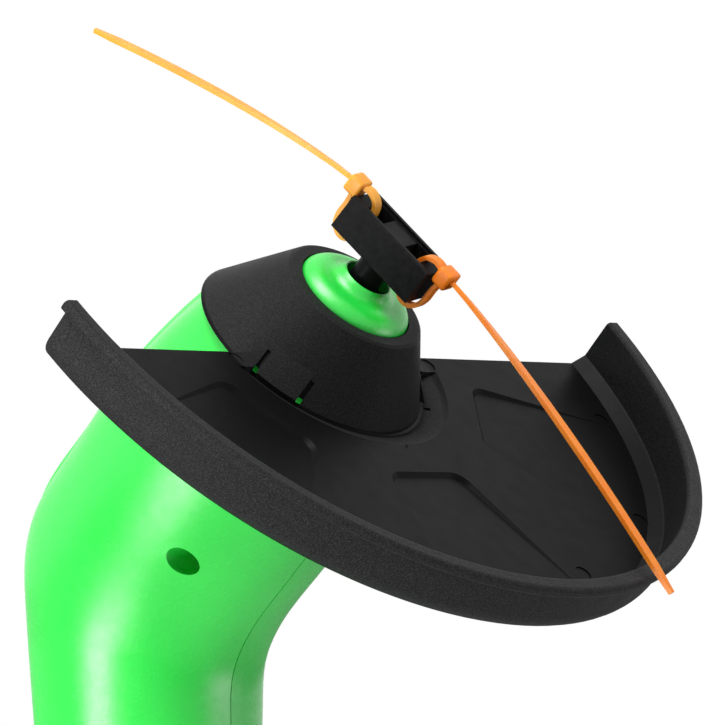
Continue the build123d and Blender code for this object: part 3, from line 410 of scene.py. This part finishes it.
def tail_path(out, across, tail, droop, twist):
    """Points along a drooping tail, with the sideways direction at each; the twist fades out."""
    reach, height = TAIL_START
    first, last = droop
    spots = []
    sideways = []
    for i in range(TAIL_STEPS + 1):
        t = i / TAIL_STEPS
        fall = radians(first + (last - first) * t ** TAIL_BEND)
        along = out * cos(fall) - AXIS_N * sin(fall)
        roll = radians(twist * max(0.0, 1.0 - t / TWIST_END) ** TWIST_FADE)
        spots.append(HEAD_O + out * reach + AXIS_N * height)
        sideways.append(across * cos(roll) + along.cross(across) * sin(roll))
        reach += tail / TAIL_STEPS * cos(fall)
        height -= tail / TAIL_STEPS * sin(fall)
    return spots, sideways


def along_list(values, share):
    """A direction part way along a list of directions."""
    position = share * (len(values) - 1)
    low = min(int(position), len(values) - 2)
    return values[low].lerp(values[low + 1], position - low).normalized()


def tie_head(bm, out, across):
    """Rounded block that the strap runs through."""
    middle = HEAD_O + out * TIE_HEAD[0] + AXIS_N * TIE_HEAD[1]
    made = bmesh.ops.create_cube(bm, size=1.0)
    turn = Matrix((out, across, AXIS_N)).transposed().to_4x4()
    stretch = Matrix.Diagonal((*TIE_HEAD_SIZE, 1.0))
    bmesh.ops.transform(bm, matrix=Matrix.Translation(middle) @ turn @ stretch, verts=made["verts"])
    edges = list({edge for vert in made["verts"] for edge in vert.link_edges})
    bmesh.ops.bevel(bm, geom=edges, offset=TIE_HEAD_ROUND, segments=3, profile=0.6, affect="EDGES")


def new_piece(name, bm, material, smooth_angle=40.0):
    """Turns built geometry into an object of the scene."""
    bmesh.ops.recalc_face_normals(bm, faces=bm.faces)
    mesh = bpy.data.meshes.new(name)
    bm.to_mesh(mesh)
    bm.free()
    mesh.materials.append(material)
    mesh.shade_smooth()
    mesh.set_sharp_from_angle(angle=radians(smooth_angle))
    piece = bpy.data.objects.new(name, mesh)
    bpy.context.scene.collection.objects.link(piece)
    return piece


def cutting_tie(name, node, material, turn, tail, droop, twist):
    """A whole tie: loop through the holder's window, head, and a tail that narrows at its last step."""
    out, across = turned(turn)
    bm = bmesh.new()
    loop = curve_through([HEAD_O + (out * a + AXIS_N * h) * MM for a, h in LOOP])
    spots = even_steps(loop, TOOTH)
    strap(bm, spots, [across] * len(spots), [TIE_W] * len(spots))
    spots, sideways = tail_path(out, across, tail, droop, twist)
    spots = even_steps(spots, TOOTH)
    shares = [i / (len(spots) - 1) for i in range(len(spots))]
    taper = [1.0 - (1.0 - TIP_SHARE) * max(0.0, 1.0 - (1.0 - t) * TAIL_STEPS) for t in shares]
    strap(bm, spots, [along_list(sideways, t) for t in shares], [TIE_W * t for t in taper])
    tie_head(bm, out, across)
    piece = new_piece(name, bm, material)
    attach(piece, "cutter")
    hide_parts(node)


cutting_tie("tie_near", "cutting_tie_a", MATERIALS["tie_orange"], turn=HOLDER_YAW, tail=92.0 * MM,
            droop=(3.0, 13.5), twist=-28.0)
# The far tie wears the paler copy of the nylon, with its painted light.
cutting_tie("tie_far", "cutting_tie_b", TIE_PAINTED_BRIGHTER, turn=HOLDER_YAW + 180.0, tail=81.0 * MM,
            droop=(9.1, 22.5), twist=20.0)


# Springs copied as pieces of their own, fixed to the frame


def pressed_spring(name, node):
    """A copy of a spring's mesh as a piece of its own, fixed to the frame, in place of the model's
    spring.
    """
    piece = bpy.data.objects.new(name, NODES[node].data.copy())
    piece.matrix_world = NODES[node].matrix_world
    bpy.context.scene.collection.objects.link(piece)
    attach(piece, "frame")
    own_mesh(piece)
    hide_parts(node)


pressed_spring("switch_spring_pressed", "switch_spring")
pressed_spring("lock_spring_pressed", "lock_spring")


# Floor, light and camera

FLOOR_REACH = 14.0
FLOOR_GAP = 1.0 * MM
LAMP_SPREAD = radians(116.0)
CAMERA_SPOT = Vector((1.0180, -1.0770, 0.3944))
CAMERA_RIGHT = Vector((0.7507, 0.6606, -0.0019))
CAMERA_UP = Vector((0.0213, -0.0214, 0.9995))
LENS = 297.9
SENSOR_W = 36.0
FAR_CLIP = 200.0


def floor():
    """A wide pale floor under the lowest point."""
    mesh = bpy.data.meshes.new("floor")
    low = CAD_BOX[0][2] - FLOOR_GAP
    corners = [(x * FLOOR_REACH, y * FLOOR_REACH, low) for x, y in ((-1, -1), (1, -1), (1, 1), (-1, 1))]
    mesh.from_pydata(corners, [], [(0, 1, 2, 3)])
    piece = bpy.data.objects.new("floor", mesh)
    bpy.context.scene.collection.objects.link(piece)
    pale = shader("floor_pale", Roughness=0.9, Specular_IOR_Level=0.1)
    feed(pale, "Base Color", tint(pale, noise(pale, scale=0.6), (0.86, 0.86, 0.86), (0.88, 0.88, 0.88)))
    mesh.materials.append(pale)


def world(light_level):
    """White where it is seen or mirrored, and a softer level where it lights."""
    sky = bpy.data.worlds.new("studio")
    bpy.context.scene.world = sky
    sky.use_nodes = True
    path = put(sky, "ShaderNodeLightPath", {})
    seen = path.outputs["Is Camera Ray"]
    for ray in ("Is Glossy Ray", "Is Transmission Ray"):
        seen = calc(sky, "MAXIMUM", seen, path.outputs[ray])
    level = spread(sky, seen, low=light_level, high=1.0, start=0.0, end=1.0)
    back = sky.node_tree.nodes["Background"]
    connect(sky, (1.0, 1.0, 1.0, 1.0), back.inputs["Color"])
    connect(sky, level, back.inputs["Strength"])


def lamp(name, spot, aim, size, power):
    """A soft rectangular lamp at a spot, turned to an aim point."""
    data = bpy.data.lights.new(name, "AREA")
    data.shape = "RECTANGLE"
    data.size, data.size_y = size
    data.spread = LAMP_SPREAD
    data.energy = power
    piece = bpy.data.objects.new(name, data)
    piece.location = spot
    piece.rotation_euler = (Vector(aim) - Vector(spot)).to_track_quat("-Z", "Y").to_euler()
    bpy.context.scene.collection.objects.link(piece)


def camera():
    """The photograph's view: a long lens, slightly below the head."""
    data = bpy.data.cameras.new("camera")
    data.lens = LENS
    data.sensor_width = SENSOR_W
    data.clip_end = FAR_CLIP
    piece = bpy.data.objects.new("camera", data)
    right = CAMERA_RIGHT.normalized()
    back = right.cross(CAMERA_UP).normalized()
    up = back.cross(right)
    turn = Matrix((right, up, back)).transposed().to_4x4()
    piece.matrix_world = Matrix.Translation(CAMERA_SPOT) @ turn
    bpy.context.scene.collection.objects.link(piece)
    bpy.context.scene.camera = piece


floor()
world(light_level=0.28)
lamp("strip", spot=(-0.06, -0.8, 0.17), aim=(0.0, 0.0, 0.17), size=(0.22, 0.78), power=3.6)
lamp("top", spot=(0.3, -0.6, 1.9), aim=(0.03, 0.0, 0.42), size=(0.9, 0.9), power=11.4)
lamp("low", spot=(1.5, 1.1, 0.0), aim=(0.0, 0.0, 0.36), size=(0.8, 0.8), power=3.0)
camera()
bpy.context.scene.view_settings.view_transform = "Standard"
